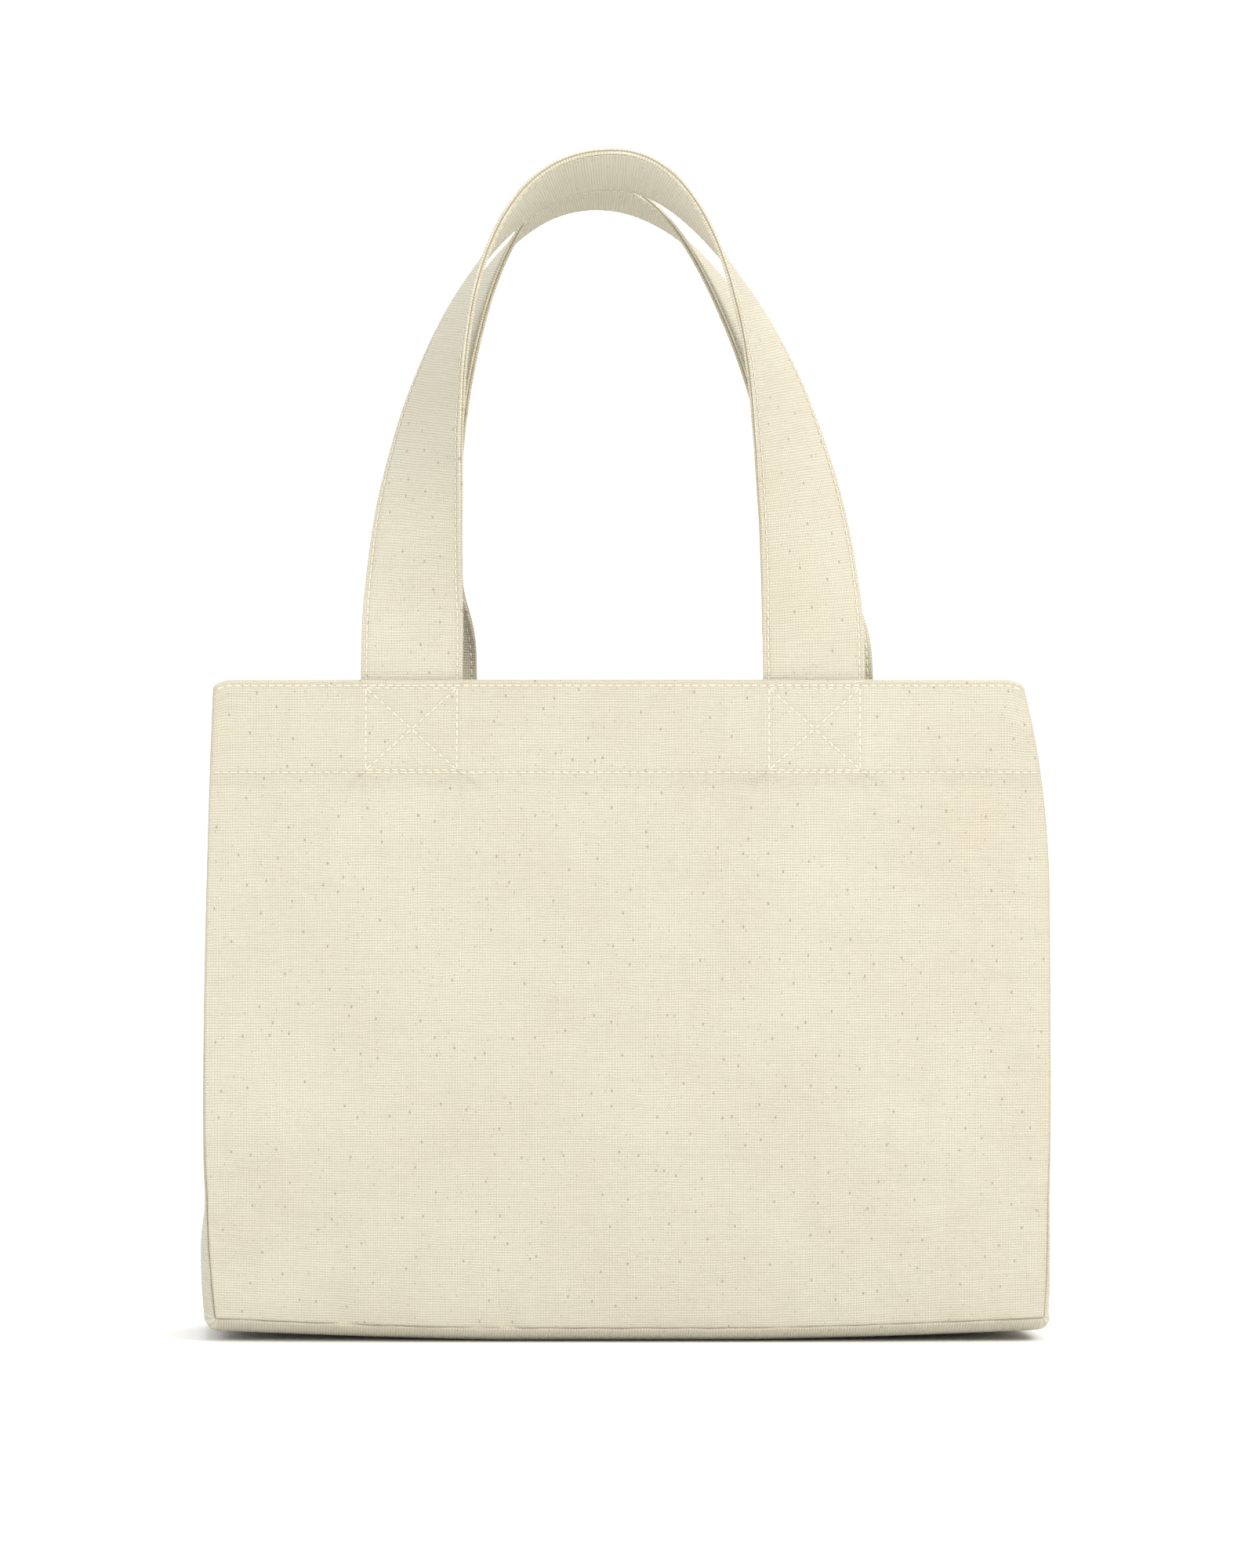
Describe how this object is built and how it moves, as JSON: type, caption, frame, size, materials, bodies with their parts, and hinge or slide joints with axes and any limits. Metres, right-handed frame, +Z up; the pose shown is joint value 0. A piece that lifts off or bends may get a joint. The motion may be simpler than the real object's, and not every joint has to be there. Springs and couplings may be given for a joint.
{
  "type": "canvas tote bag",
  "caption": "Flat-bottomed natural cotton canvas tote with a wide gusset, a deep hem and two broad hand straps sewn inside the mouth with crossed boxes.",
  "frame": {"origin": "centre of the bag's bounding footprint, on the floor it stands on", "axes": "+Z up from the floor to the handle crowns; the front panel faces -Y; +X is to the right of someone facing the front panel"},
  "size_m": [0.3677, 0.098, 0.5119],
  "materials": {
    "canvas": "unbleached plain weave cotton duck, matt",
    "seam_canvas": "raw cotton duck edges bound with overlock thread, matt",
    "strap_canvas": "unbleached plain weave cotton duck folded four layers thick, matt",
    "thread": "natural spun sewing thread, matt"
  },
  "bodies": {
    "bag": {"front_panel": "canvas", "back_panel": "canvas", "gusset": "canvas", "front_seam_allowance": "seam_canvas", "back_seam_allowance": "seam_canvas", "mouth_edge_stitching": "thread", "hem_stitching": "thread", "front_handle_end_left": "strap_canvas", "front_handle_end_right": "strap_canvas", "back_handle_end_left": "strap_canvas", "back_handle_end_right": "strap_canvas", "box_stitch_front_left": "thread", "box_stitch_front_right": "thread", "box_stitch_back_left": "thread", "box_stitch_back_right": "thread"},
    "front_handle": {"front_handle_loop": "strap_canvas", "front_handle_stitching": "thread"},
    "back_handle": {"back_handle_loop": "strap_canvas", "back_handle_stitching": "thread"}
  },
  "joints": [
    {"name": "front_handle_swing", "type": "hinge", "parent": "bag", "child": "front_handle", "pos_m": [0, -0.0286, 0.284], "axis": [1, 0, 0], "range_deg": [0, 165]},
    {"name": "back_handle_swing", "type": "hinge", "parent": "bag", "child": "back_handle", "pos_m": [0, 0.0286, 0.284], "axis": [-1, 0, 0], "range_deg": [0, 155]}
  ]
}
